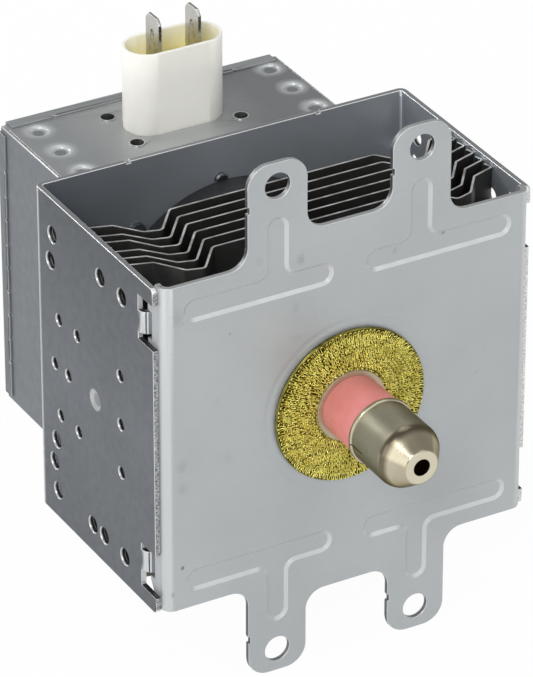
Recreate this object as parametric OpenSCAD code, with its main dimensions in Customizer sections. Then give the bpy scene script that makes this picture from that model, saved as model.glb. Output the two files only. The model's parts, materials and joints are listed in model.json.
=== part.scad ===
// Magnetron: a vacuum tube held in a folded steel yoke, with cooling fins between
// the walls, an antenna through the mounting plate and a filter box at the rear.
// The mounting face is the plane y = 0 and the antenna points along -y.
// The antenna axis is the y axis and the terminals point along +z. Millimetres.

/* [Yoke] */
// Outside width of the channel
yoke_w = 95; // [86:0.5:120]
// Height of the channel
yoke_h = 82.4; // [80:0.1:110]
// Mounting face to the outer face of the back wall
yoke_d = 57.5; // [55:0.1:66]
// Sheet thickness of the channel and the mounting plate
sheet_t = 1.3; // [1:0.05:1.8]
// Inside bend radius of the channel
bend_in_r = 0.5; // [0.4:0.1:3]
// Mounting face to the front edge of the side walls
wall_setback = 2.3; // [1.6:0.1:3.2]
// How far the channel sits below the middle of the plate
yoke_drop = 0.7; // [0:0.1:2]
// Height of the wall left above each clinch notch
corner_h = 4.1; // [2.5:0.1:7]
// Height of a clinch notch in the wall's front edge
notch_h = 11; // [8:0.5:14]
// Depth of a clinch notch
notch_d = 6.7; // [5.5:0.1:9]
// Height of a clinch tongue
tongue_h = 5.5; // [3:0.5:7]
// Large wall holes
big_hole_d = 4; // [3:0.1:5]
// Small wall holes
small_hole_d = 2.8; // [2:0.1:4]
// Height of the large hole rows above and below the channel's middle
big_row = 33; // [30:0.5:35]
// Spacing of the small hole rows
small_row = 12.4; // [10:0.2:14]

/* [Mounting plate] */
// Half height of the plate beside the ears
plate_edge = 41; // [39:0.1:50]
// Half height of the plate between the ears
bridge_edge = 46.4; // [44:0.1:52]
// Ear holes, sideways from the antenna axis
ear_x = 18; // [14:0.25:24]
// Ear holes, up and down from the antenna axis
ear_z = 59.1; // [57:0.1:66]
// Ear hole diameter
ear_hole_d = 6.2; // [4:0.1:7]
// Ear width
ear_w = 14.8; // [13:0.1:20]
// Metal beyond the ear hole's centre
ear_over = 5.7; // [5:0.1:9]
// Ear corner radius
ear_r = 5.2; // [2:0.1:6]
// Fillet where an ear leaves the plate
root_r = 4.5; // [2:0.1:6]
// Outside bend radius of the side flanges
flange_r = 2.6; // [2:0.1:4]
// Depth of the side flanges from the mounting face
flange_d = 7; // [6:0.1:8]
// Hole around the tube's neck
plate_hole_d = 21.6; // [21:0.1:25]
// Depth of the stiffening grooves
tee_depth = 0.6; // [0.3:0.1:1]
// Run of a groove's sloped wall
tee_slope = 0.8; // [0.4:0.1:1.2]
// Width of a groove's bar at the face
bar_w = 5.7; // [4:0.1:7]
// Width of a groove's stem at the face
stem_w = 5.5; // [4:0.1:7]
// Bar height above and below the antenna axis
bar_z = 34.2; // [33:0.1:36]
// Outer end of a stem
stem_top = 51.5; // [47:0.1:53]

/* [Magnets] */
// Front ring magnet diameter
front_magnet_d = 53; // [44:0.5:54]
// Front ring magnet thickness
front_magnet_t = 10.4; // [8:0.1:10.8]
// Rear ring magnet diameter
rear_magnet_d = 60; // [48:0.5:64]
// Rear ring magnet thickness
rear_magnet_t = 11.9; // [9:0.1:14]
// Bore of both magnets
magnet_bore_d = 21; // [20.8:0.1:26]

/* [Fins] */
// Fin sheet thickness
fin_t = 0.5; // [0.4:0.05:0.8]
// Fin to fin distance
fin_pitch = 3.9; // [3.5:0.05:4.2]
// Half width of a fin's flat middle
fin_flat = 26; // [24:0.25:27]
// Depth of the fold beside the flat
fin_dip = 7.4; // [5:0.1:8]
// Height of a fin
fin_h = 80; // [60:0.5:80]

/* [Tube] */
// Anode outside diameter
anode_d = 40; // [36:0.5:44]
// Anode wall thickness
anode_wall = 2.8; // [2:0.1:4]
// Hole between the vane tips
vane_bore_d = 9; // [8.4:0.1:10]
// Vane thickness
vane_t = 1.8; // [1.2:0.1:2]
// Vane height along the axis
vane_h = 9.5; // [7:0.1:11]
// Pole piece sheet thickness
pole_t = 1.3; // [1:0.05:1.8]
// Depth of a pole piece's funnel
pole_depth = 7.9; // [5:0.1:8.5]
// Hole at a pole piece's tip
pole_hole_d = 9.2; // [8:0.1:10.5]
// Outside diameter of the sealing sleeves
sleeve_d = 20.4; // [19.4:0.1:20.6]
// Wall of the sealing sleeves
sleeve_t = 0.6; // [0.4:0.05:0.9]
// Filament coil diameter at the wire's middle
filament_d = 4; // [3:0.1:5]
// Filament wire diameter
filament_wire = 0.5; // [0.3:0.05:0.6]
// Cathode lead diameter
lead_d = 1.4; // [1:0.1:1.6]

/* [Antenna] */
// Gasket outside diameter
gasket_d = 37.6; // [34:0.1:40]
// Gasket thickness
gasket_t = 1.6; // [1:0.1:3]
// Collar behind the ceramic
collar_d = 17.2; // [16.4:0.1:19]
// Ceramic diameter
ceramic_d = 15; // [14:0.1:15.2]
// Ceramic length
ceramic_l = 12.2; // [8:0.1:16]
// Cap diameter
cap_d = 15.6; // [15.4:0.1:17]
// Cap length
cap_l = 17.8; // [14:0.1:22]
// Cap wall
cap_t = 0.6; // [0.4:0.05:0.8]
// Flat end of the cap
tip_d = 8.2; // [6:0.1:10]
// Hole in the flat end
tip_hole_d = 4.1; // [3:0.1:5]

/* [Filter box] */
// Width of the box
box_w = 72.2; // [66:0.2:84]
// Height of the box
box_h = 72; // [68:0.2:78]
// Depth of the box without its cover
box_d = 39.1; // [38:0.1:50]
// Sheet thickness of box and cover
box_t = 0.5; // [0.4:0.05:1]
// How far the box sits below the antenna axis
box_drop = 2; // [0:0.1:3]
// Width of the cover's rim on the box
lid_lap = 3.1; // [2:0.1:5]
// Hole for the cathode stem through wall and box
stem_hole_d = 22; // [21.5:0.1:26]

/* [Terminals] */
// Socket length
socket_l = 24.5; // [22:0.1:27]
// Socket width
socket_w = 11.4; // [10.4:0.1:12.4]
// Socket height above the box
socket_h = 20.4; // [14:0.1:26]
// Socket wall
socket_wall = 0.8; // [0.6:0.05:1.4]
// Terminals sideways from the antenna axis
socket_x = 0.5; // [0:0.1:1.5]
// Socket sideways from the terminals' middle
shell_shift = -0.4; // [-0.6:0.1:0.6]
// Back wall to the socket's middle
socket_y = 23.4; // [23:0.1:27]
// Potting level below the socket's rim
potting_gap = 5.5; // [4.5:0.1:10]
// Tab width
tab_w = 6.3; // [4.8:0.1:6.5]
// Tab thickness
tab_t = 0.8; // [0.5:0.05:1]
// Tab to tab distance
tab_gap = 10.2; // [9:0.1:11.5]
// Tab height above the socket's rim
tab_rise = 6.8; // [5:0.1:9]
// Hole near a tab's end
tab_hole_d = 1.6; // [1:0.1:2]
// Eyelet outside diameter
eyelet_d = 3.8; // [3.6:0.1:4.5]
// Eyelet hole
eyelet_hole_d = 3.3; // [2:0.1:3.4]
// Eyelets, along the socket
eyelet_x = 27; // [27:0.1:30]
// Eyelets, across the socket
eyelet_y = 14.3; // [14:0.1:17]
// Clearance around the socket in the box
socket_clear = 0.15; // [0.1:0.05:0.3]

/* [Chokes] */
// Choke core diameter
core_d = 5; // [4:0.1:6]
// Choke wire diameter
choke_wire = 1.3; // [1:0.1:1.5]
// Sideways place of each choke
choke_x = 16; // [14:0.5:20]

/* [Hidden] */
$fn = 64;
inner_half = yoke_w / 2 - sheet_t;
back_in = yoke_d - sheet_t;
yoke_mid = -yoke_drop;
yoke_bottom = yoke_mid - yoke_h / 2;
notch_top = yoke_h / 2 - corner_h;
notch_low = notch_top - notch_h;
notch_back = wall_setback + notch_d;
tongue_low = notch_low + 1.6;
tongue_r = 1.2;
tongue_turn = 55;
tongue_len = 1.4;
nose_r = 1.2;
bump_d = 3.8;
bump_h = 1;
wall_hole_front = 17.5;
wall_hole_step = 9.6;

ear_end = ear_z + ear_over;
bar_in = 4;
bar_out = inner_half - 5;
tee_wall = 0.2;
tee_corner = 2.2;
groove_d = 41.8;

front_seat = sheet_t + front_magnet_t;
front_pole_y = front_seat + sleeve_t;
anode_front = front_pole_y + pole_t;
rear_seat = back_in - rear_magnet_t;
rear_pole_y = rear_seat - sleeve_t;
anode_back = rear_pole_y - pole_t;
anode_mid = (anode_front + anode_back) / 2;
anode_in = anode_d / 2 - anode_wall;
vane_front = anode_mid - vane_h / 2;
vane_back = anode_mid + vane_h / 2;
vane_count = 10;
strap_w = 0.7;
strap_h = 1;
strap_in = vane_bore_d / 2 + 1.5;
strap_out = strap_in + 1.4;
strap_gap = 0.4;
groove_h = 1.5;
sleeve_r = sleeve_d / 2;
neck_r = collar_d / 2;
collar_y = -gasket_t + 0.1;
ceramic_end = collar_y - ceramic_l;
cap_end = ceramic_end - cap_l;
seal_t = 0.5;
tube_d = 4.4;
antenna_wire = 1.8;
lead_r = anode_in - 6.2;
hat_d = filament_d + 3;
hat_t = 1.4;
hat_front = vane_front - 0.3;
hat_back = vane_back + 0.3;
side_x = (hat_d - lead_d) / 2 - 0.4;
stem_front = yoke_d + 1.2;
stem_back = yoke_d + 13.2;
lead_end = stem_back + 4;

fin_first = anode_front + 1.1;
fin_end = inner_half - fin_t / 2;
collar_l = fin_pitch - fin_t - 0.3;

box_mid = -box_drop;
box_top = box_mid + box_h / 2;
box_back = yoke_d + box_d;
panel_in = box_top - box_t;
lap_w = 9;
lap_x = box_w / 2 - box_t - lap_w;
clinch_pitch = 10.85;
clinch_left = -box_w / 2 + 6.4;
clinch_right = box_w / 2 - 4.6;
clinch_mid = yoke_d + 22.4;
clinch_skew = 0.7;
function clinch_at(x) = clinch_mid + sign(x) * clinch_skew;
socket_mid = yoke_d + socket_y;
shell_x = socket_x + shell_shift;
rim_z = box_top + socket_h;
potting_z = rim_z - potting_gap;
tab_top = rim_z + tab_rise;
tab_low = potting_z - 4;
rod_d = 2.4;
plate_cap_t = 1;
plate_cap_z = panel_in - plate_cap_t;
case_h = 19;
case_z = plate_cap_z - case_h;
case_wall = 1.2;
rod_low = case_z - 6;
choke_y = socket_mid - 3;
choke_turns = 14;
choke_top = rod_low - 6;
choke_step = choke_wire * 0.94;
choke_r = core_d / 2 + choke_wire / 2;

// Flat sheets standing in each of the three planes, drawn in their own plane.
module sheet_xz(y0, t) {
    translate([0, y0 + t, 0])
        rotate([90, 0, 0])
            linear_extrude(t)
                children();
}

module sheet_yz(x0, t) {
    translate([x0, 0, 0])
        rotate([90, 0, 90])
            linear_extrude(t)
                children();
}

module sheet_xy(z0, t) {
    translate([0, 0, z0])
        linear_extrude(t)
            children();
}

module along_y(y0) {
    translate([0, y0, 0])
        rotate([-90, 0, 0])
            children();
}

module spun_y(y0) {
    along_y(y0)
        rotate_extrude()
            children();
}

module quarters() {
    for (sx = [0, 1])
        for (sz = [0, 1])
            mirror([sx, 0])
                mirror([0, sz])
                    children();
}

module oval(l, w) {
    square([l - w, w], center = true);
    for (s = [-1, 1])
        translate([s * (l - w) / 2, 0])
            circle(d = w);
}

module rounded_rect(w, h, r) {
    square([w - 2 * r, h], center = true);
    square([w, h - 2 * r], center = true);
    quarters()
        translate([w / 2 - r, h / 2 - r])
            circle(r);
}

module inside_corner(r) {
    difference() {
        translate([-0.4, -0.4])
            square(r + 0.4);
        translate([r, r])
            circle(r);
    }
}

function unit(v) = v / norm(v);
function left_of(v) = [-v[1], v[0]];
function middle(a, b, c) = unit(left_of(unit(b - a)) + left_of(unit(c - b)));
function mitre(a, b, c) = middle(a, b, c) / (middle(a, b, c) * left_of(unit(b - a)));
function normal_at(p, i) =
    i == 0 ? left_of(unit(p[1] - p[0])) :
    i == len(p) - 1 ? left_of(unit(p[i] - p[i - 1])) :
    mitre(p[i - 1], p[i], p[i + 1]);

// A bend of radius r at b, as points on its arc.
function bend(a, b, c, r, n) =
    let (u = unit(a - b))
    let (v = unit(c - b))
    let (half = acos(u * v) / 2)
    let (o = b + unit(u + v) * r / sin(half))
    let (s = b + u * r / tan(half) - o)
    let (e = b + v * r / tan(half) - o)
    let (a0 = atan2(s[1], s[0]))
    let (turn = (atan2(e[1], e[0]) - a0 + 540) % 360 - 180)
    [for (i = [0 : n]) o + r * [cos(a0 + turn * i / n), sin(a0 + turn * i / n)]];

module strip(p, t) {
    polygon(concat(
        [for (i = [0 : len(p) - 1]) p[i] + normal_at(p, i) * t / 2],
        [for (i = [len(p) - 1 : -1 : 0]) p[i] - normal_at(p, i) * t / 2]));
}

// A straight round wire from a to b.
module wire(a, b, d) {
    v = b - a;
    translate(a)
        rotate([0, acos(v[2] / norm(v)), atan2(v[1], v[0])])
            cylinder(d = d, h = norm(v));
}

module channel_profile(half, front, back, r) {
    translate([-half, front])
        square([2 * half, back - r - front]);
    translate([-half + r, front])
        square([2 * (half - r), back - front]);
    for (s = [-1, 1])
        translate([s * (half - r), back - r])
            circle(r);
}

// Tongue bent in from the back of a clinch notch.
module tongue_profile() {
    translate([inner_half - tongue_r, notch_back]) {
        intersection() {
            difference() {
                circle(tongue_r + sheet_t);
                circle(tongue_r);
            }
            polygon([[0, 0], [9, 0], [9, -9 * tan(tongue_turn / 2)],
                [9 * cos(tongue_turn), -9 * sin(tongue_turn)]]);
        }
        rotate(-tongue_turn)
            translate([tongue_r, -tongue_len])
                square([sheet_t, tongue_len + 0.2]);
        translate([tongue_r, 0])
            square([sheet_t, 0.5]);
    }
}

module both_walls_hole(y, z, d) {
    translate([0, y, yoke_mid + z])
        rotate([0, 90, 0]) {
            cylinder(d = d, h = yoke_w + 2, center = true);
            for (s = [0, 1])
                mirror([0, 0, s])
                    translate([0, 0, yoke_w / 2 - 0.3])
                        cylinder(d1 = d - 0.2, d2 = d + 0.8, h = 0.5);
        }
}

module wall_holes() {
    back_row = back_in - 6.9;
    both_walls_hole(wall_hole_front - 1, big_row - 0.5, big_hole_d);
    both_walls_hole(wall_hole_front + wall_hole_step - 0.6, big_row - 0.5, big_hole_d);
    both_walls_hole(back_row - 0.1, big_row - 0.8, big_hole_d);
    both_walls_hole(back_row + 1, big_row - 7.8, big_hole_d);
    both_walls_hole(wall_hole_front - 0.7, -big_row - 1.1, big_hole_d);
    both_walls_hole(wall_hole_front + wall_hole_step - 0.5, -big_row - 0.9, big_hole_d);
    both_walls_hole(wall_hole_front + 14.5, -big_row - 0.9, big_hole_d);
    both_walls_hole(back_row - 0.4, -big_row - 1, big_hole_d);
    both_walls_hole(back_row + 1, -big_row + 6.2, big_hole_d);
    both_walls_hole(back_row - 0.2, -big_row + 12.4, big_hole_d);
    for (z = [-small_row, 0, small_row])
        both_walls_hole(wall_hole_front + 0.3, z - 0.3, small_hole_d);
    for (z = [-small_row, small_row]) {
        both_walls_hole(back_row - 2.5, z - 0.7, small_hole_d);
        both_walls_hole(back_row - 11.2, z - 0.5, small_hole_d);
    }
    both_walls_hole(back_row - 0.1, -0.7, small_hole_d);
    both_walls_hole(back_row - 6.6, -0.6, small_hole_d);
}

// Round dimple pressed into the outside of each wall.
module wall_dimple() {
    for (s = [0, 1])
        mirror([s, 0, 0])
            translate([yoke_w / 2 - 0.5, wall_hole_front + 12.2, yoke_mid - 0.2])
                rotate([0, 90, 0])
                    cylinder(d1 = 3, d2 = 5.6, h = 0.65);
}

// Rounding of the walls' front corners.
module wall_noses() {
    for (s = [0, 1])
        translate([0, 0, yoke_mid])
            mirror([0, 0, s])
                sheet_yz(-yoke_w, 2 * yoke_w)
                    translate([wall_setback, yoke_h / 2])
                        mirror([0, 1])
                            difference() {
                                translate([-1, -1])
                                    square(nose_r + 1);
                                translate([nose_r, nose_r])
                                    circle(nose_r);
                            }
}

module at_bumps() {
    for (a = [45 : 45 : 135])
        for (s = [-1, 1])
            rotate([0, s * a - 90, 0])
                translate([rear_magnet_d / 2 + bump_d / 2 + 0.2, 0, 0])
                    children();
}

module yoke_channel() {
    color([0.62, 0.64, 0.66])
        difference() {
            union() {
                difference() {
                    sheet_xy(yoke_bottom, yoke_h)
                        difference() {
                            channel_profile(yoke_w / 2, wall_setback, yoke_d, bend_in_r + sheet_t);
                            channel_profile(inner_half, wall_setback - 1, back_in, bend_in_r);
                        }
                    for (s = [-1, 1])
                        translate([-yoke_w, 0, yoke_mid + s * (notch_low + notch_h / 2) - notch_h / 2])
                            cube([2 * yoke_w, notch_back, notch_h]);
                }
                for (s = [0, 1])
                    mirror([s, 0, 0])
                        for (z = [tongue_low, -tongue_low - tongue_h])
                            sheet_xy(yoke_mid + z, tongue_h)
                                tongue_profile();
                at_bumps()
                    along_y(back_in - bump_h)
                        cylinder(d = bump_d, h = bump_h + 0.3);
            }
            wall_holes();
            wall_dimple();
            wall_noses();
            along_y(back_in - 2)
                cylinder(d = stem_hole_d, h = sheet_t + 4);
            at_bumps()
                along_y(yoke_d - bump_h)
                    cylinder(d = bump_d - 0.4, h = bump_h + 1);
            for (s = [-1, 1])
                translate([s * 24.4 - 0.5, back_in - 1, yoke_bottom + yoke_h - 0.5])
                    cube([1, sheet_t + 2, 2]);
        }
}

module ear() {
    translate([ear_x - ear_w / 2, 0])
        square([ear_w, ear_end - ear_r]);
    translate([ear_x - ear_w / 2 + ear_r, 0])
        square([ear_w - 2 * ear_r, ear_end]);
    for (s = [-1, 1])
        translate([ear_x + s * (ear_w / 2 - ear_r), ear_end - ear_r])
            circle(ear_r);
    translate([ear_x + ear_w / 2, plate_edge])
        inside_corner(root_r);
    translate([ear_x - ear_w / 2, bridge_edge])
        mirror([1, 0])
            inside_corner(root_r);
}

module plate_outline() {
    square([2 * (inner_half - flange_r), 2 * plate_edge], center = true);
    square([2 * ear_x, 2 * bridge_edge], center = true);
    quarters()
        ear();
}

module tee(grow) {
    translate([(bar_in + bar_out) / 2, bar_z])
        oval(bar_out - bar_in + 2 * grow, bar_w + 2 * grow);
    translate([ear_x, (bar_z - 1.5 + stem_top) / 2])
        rotate(90)
            oval(stem_top - bar_z + 1.5 + 2 * grow, stem_w + 2 * grow);
}

// Straight run of a pressed groove, with sloped sides and round ends.
module groove(l, w) {
    half = (l - w) / 2;
    low = w / 2 - tee_slope;
    out = w / 2 + 0.2 * tee_slope / tee_depth;
    translate([-half, 0, 0])
        rotate([90, 0, 90])
            linear_extrude(2 * half)
                polygon([[-low, -tee_depth], [low, -tee_depth], [out, 0.2], [-out, 0.2]]);
    for (s = [-1, 1])
        translate([s * half, 0, -tee_depth])
            cylinder(r1 = low, r2 = out, h = tee_depth + 0.2);
}

module groove_corner(r) {
    inside = tee_slope + 0.4;
    difference() {
        translate([-inside, -inside, -tee_depth])
            cube([r + inside, r + inside, tee_depth + 0.2]);
        translate([r, r, -tee_depth - 0.1])
            cylinder(r1 = r + tee_slope * (1 + 0.1 / tee_depth), r2 = r - 0.3 * tee_slope / tee_depth,
                h = tee_depth + 0.4);
    }
}

module tee_groove() {
    translate([(bar_in + bar_out) / 2, bar_z, 0])
        groove(bar_out - bar_in, bar_w);
    translate([ear_x, (bar_z - 1.5 + stem_top) / 2, 0])
        rotate(90)
            groove(stem_top - bar_z + 1.5, stem_w);
    for (s = [0, 1])
        translate([ear_x, bar_z + bar_w / 2, 0])
            mirror([s, 0, 0])
                translate([stem_w / 2, 0, 0])
                    groove_corner(tee_corner);
}

module plate_fold() {
    mirror([0, 1])
        difference() {
            channel_profile(inner_half, -flange_d, 0, flange_r);
            channel_profile(inner_half - sheet_t, -flange_d - 1, -sheet_t, flange_r - sheet_t);
        }
}

module mounting_plate() {
    color([0.72, 0.74, 0.75])
        difference() {
            union() {
                sheet_xy(-plate_edge, 2 * plate_edge)
                    plate_fold();
                sheet_xz(0, sheet_t)
                    plate_outline();
                sheet_xz(sheet_t - 0.3, tee_depth + 0.3)
                    quarters()
                        tee(tee_wall);
            }
            rotate([90, 0, 0])
                quarters()
                    tee_groove();
            along_y(-1)
                cylinder(d = plate_hole_d, h = sheet_t + 2);
            for (sx = [-1, 1])
                for (sz = [-1, 1])
                    translate([sx * ear_x, 0, sz * ear_z])
                        along_y(-1)
                            cylinder(d = ear_hole_d, h = sheet_t + 2);
            spun_y(0)
                polygon([[groove_d / 2 - 2.6, -0.2], [groove_d / 2 + 2.6, -0.2], [groove_d / 2, 0.09]]);
            for (sx = [-1, 1])
                for (sz = [-1, 1])
                    translate([sx * ear_x - ear_w / 2 - 0.6, -1, sz * (ear_z - 4.4) - 0.8])
                        cube([1.1, sheet_t + 2, 1.6]);
            for (s = [-1, 1])
                translate([0, flange_d + 0.1, yoke_mid + s * (tongue_low + tongue_h / 2)])
                    cube([yoke_w, 4, tongue_h + 1.2], center = true);
            sheet_yz(-yoke_w / 2, yoke_w)
                for (s = [0, 1])
                    mirror([0, s])
                        polygon([[flange_d + 1, plate_edge - 5.5], [flange_d, plate_edge - 5.5],
                            [flange_r + 0.4, plate_edge + 1], [flange_d + 1, plate_edge + 1]]);
        }
}

module gasket_mesh() {
    color([0.80, 0.68, 0.28])
        spun_y(-gasket_t)
            difference() {
                union() {
                    translate([neck_r, 0.5])
                        square([gasket_d / 2 - neck_r, gasket_t - 0.5]);
                    translate([neck_r, 0])
                        square([gasket_d / 2 - neck_r - 0.5, gasket_t]);
                    translate([gasket_d / 2 - 0.5, 0.5])
                        circle(0.5);
                }
                translate([0, -1])
                    square([neck_r, gasket_t + 2]);
            }
}

module ring_magnet(d, t) {
    rotate_extrude()
        polygon([[magnet_bore_d / 2, 0], [d / 2 - 0.8, 0], [d / 2, 0.8],
            [d / 2, t - 0.8], [d / 2 - 0.8, t], [magnet_bore_d / 2, t]]);
}

module front_magnet() {
    color([0.16, 0.16, 0.17])
        along_y(sheet_t)
            ring_magnet(front_magnet_d, front_magnet_t);
}

module rear_magnet() {
    color([0.16, 0.16, 0.17])
        along_y(rear_seat)
            ring_magnet(rear_magnet_d, rear_magnet_t);
}

// One half of a fin's folded outline, from the middle to the wall.
// The wall end sits forward by the given amount.
// The dip, the rise and the lip share the room between the dip and the wall.
fin_dip_in = fin_flat + 5.8;
fin_dip_run = 4;
fin_rise_run = 4.55;
fin_lip_run = 5.6;
fin_fit = (fin_end - fin_dip_in) / (fin_dip_run + fin_rise_run + fin_lip_run);
fin_dip_out = fin_dip_in + fin_dip_run * fin_fit;
fin_crease = fin_end - fin_lip_run * fin_fit;
fin_forward = [-0.4, 0.3, 0.8, 0, 0.8, 0.2];
function fin_half(f) =
    let (dip = [fin_dip_in, -fin_dip])
    let (rise = [fin_dip_out, -fin_dip + 1.2])
    let (crease = [fin_crease, -0.2 - f])
    let (corner = [fin_end, 1.6 - f])
    let (tip = [fin_end - 0.6, 3.7 - f])
    concat([[0, 0]],
        bend([0, 0], [fin_flat, 0], dip, 1.4, 4),
        bend([fin_flat, 0], dip, rise, 1.3, 4),
        bend(dip, rise, crease, 1.6, 4),
        bend(rise, crease, corner, 0.7, 3),
        bend(crease, corner, tip, 0.4, 3),
        [tip]);
function fin_path(f) = concat(
    [for (i = [len(fin_half(f)) - 1 : -1 : 1]) [-fin_half(f)[i][0], fin_half(f)[i][1]]],
    fin_half(0));

module fin(i) {
    color([0.80, 0.81, 0.82])
        translate([0, fin_first + i * fin_pitch, 0])
            difference() {
                union() {
                    sheet_xy(yoke_mid - fin_h / 2, fin_h)
                        strip(fin_path(fin_forward[i]), fin_t);
                    along_y(-fin_t / 2)
                        cylinder(d = anode_d + 2 * fin_t, h = fin_t + collar_l);
                }
                along_y(-fin_t)
                    cylinder(d = anode_d, h = 3 * fin_t + collar_l);
            }
}

module anode_cylinder() {
    color([0.80, 0.50, 0.34])
        spun_y(anode_front)
            translate([anode_in, 0])
                square([anode_wall, anode_back - anode_front]);
}

// Radial vane with a groove for the straps in both edges.
module vane(i) {
    odd = i % 2;
    low = odd == 1 ? strap_in - strap_gap : sqrt(pow(strap_in, 2) - pow(vane_t / 2, 2));
    high = odd == 1 ? strap_out + strap_w : strap_out + strap_w + strap_gap;
    color([0.82, 0.52, 0.36])
        rotate([0, -90 - i * 360 / vane_count, 0])
            difference() {
                sheet_xz(vane_front, vane_h)
                    intersection() {
                        translate([vane_bore_d / 2, -vane_t / 2])
                            square([anode_in, vane_t]);
                        circle(anode_in);
                    }
                for (y = [vane_front - 1, vane_back - groove_h])
                    translate([low, y, -vane_t])
                        cube([high - low, groove_h + 1, 2 * vane_t]);
            }
}

module strap(r, y) {
    color([0.76, 0.46, 0.30])
        spun_y(y)
            translate([r, 0])
                square([strap_w, strap_h]);
}

module pole_profile() {
    mouth = sleeve_r + 2.8;
    tip = pole_hole_d / 2 + 3.2;
    polygon([[anode_d / 2, 0], [mouth, 0], [tip - 0.6, pole_depth - pole_t],
        [pole_hole_d / 2, pole_depth - pole_t], [pole_hole_d / 2, pole_depth],
        [tip, pole_depth], [mouth + 0.6, pole_t], [anode_d / 2, pole_t]]);
}

// Path of the antenna lead in the plane x = 0, from a vane to the exhaust tube.
lead_a = [vane_front, lead_r];
lead_b = [vane_front - 2.4, lead_r];
lead_c = [front_pole_y - 3.8, sleeve_r - 3.9];
lead_f = [collar_y - 3, 0];
lead_e = [ceramic_end - 9, 0];
lead_path = concat(
    [lead_a],
    bend(lead_a, lead_b, lead_c, 2, 3),
    bend(lead_b, lead_c, lead_f, 2, 3),
    bend(lead_c, lead_f, lead_e, 2, 3),
    [lead_e]);
lead_sides = 12;
lead_points = [for (i = [0 : len(lead_path) - 1]) for (j = [0 : lead_sides - 1])
    let (b = 360 * j / lead_sides)
    let (q = lead_path[i] + normal_at(lead_path, i) * sin(b) * antenna_wire / 2)
    [cos(b) * antenna_wire / 2, q[0], q[1]]];
lead_last = (len(lead_path) - 1) * lead_sides;
lead_faces = concat(
    [[for (j = [lead_sides - 1 : -1 : 0]) j]],
    [for (i = [0 : lead_sides : lead_last - 1]) for (j = [0 : lead_sides - 1])
        [i + j, i + (j + 1) % lead_sides, i + lead_sides + j]],
    [for (i = [0 : lead_sides : lead_last - 1]) for (j = [0 : lead_sides - 1])
        [i + (j + 1) % lead_sides, i + lead_sides + (j + 1) % lead_sides, i + lead_sides + j]],
    [[for (j = [0 : lead_sides - 1]) lead_last + j]]);

module front_pole_piece() {
    color([0.55, 0.56, 0.58])
        difference() {
            spun_y(front_pole_y)
                pole_profile();
            wire([0, lead_b[0], lead_b[1]], [0, lead_c[0], lead_c[1]], antenna_wire + 1.6);
        }
}

module rear_pole_piece() {
    color([0.55, 0.56, 0.58])
        translate([0, rear_pole_y, 0])
            mirror([0, 1, 0])
                spun_y(0)
                    pole_profile();
}

// Sleeve from the front pole piece through the magnet to the ceramic.
module output_sleeve() {
    wide = anode_d / 2 - 1.6;
    color([0.74, 0.74, 0.72])
        spun_y(0)
            polygon([[sleeve_r - sleeve_t, front_pole_y], [wide, front_pole_y],
                [wide, front_seat], [sleeve_r, front_seat], [sleeve_r, 2.6],
                [neck_r, 0.6], [neck_r, collar_y], [ceramic_d / 2 - 1.6, collar_y],
                [ceramic_d / 2 - 1.6, collar_y + sleeve_t],
                [neck_r - sleeve_t, collar_y + sleeve_t], [neck_r - sleeve_t, 0.8],
                [sleeve_r - sleeve_t, 2.8]]);
}

module antenna_ceramic() {
    color([0.88, 0.54, 0.53])
        spun_y(ceramic_end)
            translate([ceramic_d / 2 - 2, 0])
                square([2, ceramic_l]);
}

module seal_cup() {
    color([0.74, 0.74, 0.72])
        spun_y(ceramic_end - seal_t)
            translate([tube_d / 2, 0])
                square([cap_d / 2 - cap_t - tube_d / 2, seal_t]);
}

module exhaust_tube() {
    long = lead_e[0] - 2.5;
    color([0.80, 0.50, 0.34])
        difference() {
            along_y(long)
                cylinder(d = tube_d, h = ceramic_end + 1.5 - long);
            along_y(long - 1)
                cylinder(d = antenna_wire, h = ceramic_end + 4 - long);
            for (s = [0, 1])
                mirror([0, 0, s])
                    sheet_yz(-tube_d, 2 * tube_d)
                        polygon([[long - 1, 1.2], [long + 1.2, 1.2], [long + 4, 3], [long - 1, 3]]);
        }
}

module antenna_lead() {
    color([0.82, 0.52, 0.36])
        polyhedron(lead_points, lead_faces);
}

// Half section of the cap, with a rolled rim, a long shoulder and a flat end.
cap_r = cap_d / 2;
cap_shoulder = cap_end + 5.4;
rim_r = cap_r + 0.4;
cap_outer = concat(
    bend([cap_r - cap_t, ceramic_end], [rim_r, ceramic_end], [rim_r, ceramic_end - 1], 0.45, 4),
    bend([rim_r, ceramic_end], [rim_r, ceramic_end - 1], [cap_r, ceramic_end - 1.1], 0.4, 4),
    [[cap_r, ceramic_end - 1.1]],
    bend([cap_r, ceramic_end], [cap_r, cap_shoulder], [tip_d / 2, cap_end], 3.2, 8),
    bend([cap_r, cap_shoulder], [tip_d / 2, cap_end], [0, cap_end], 0.7, 4));
cap_inner = [[tip_hole_d / 2, cap_end], [tip_hole_d / 2, cap_end + cap_t],
    [tip_d / 2 - cap_t, cap_end + cap_t], [cap_r - cap_t, cap_shoulder + 0.3],
    [cap_r - cap_t, ceramic_end]];

// The cap has a short slit from its rim.
module antenna_cap() {
    color([0.76, 0.73, 0.68])
        difference() {
            spun_y(0)
                polygon(concat(cap_outer, cap_inner));
            translate([-cap_r - 2, ceramic_end - 5.4, -0.9])
                cube([3.2, 6.4, 0.3]);
        }
}

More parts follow.
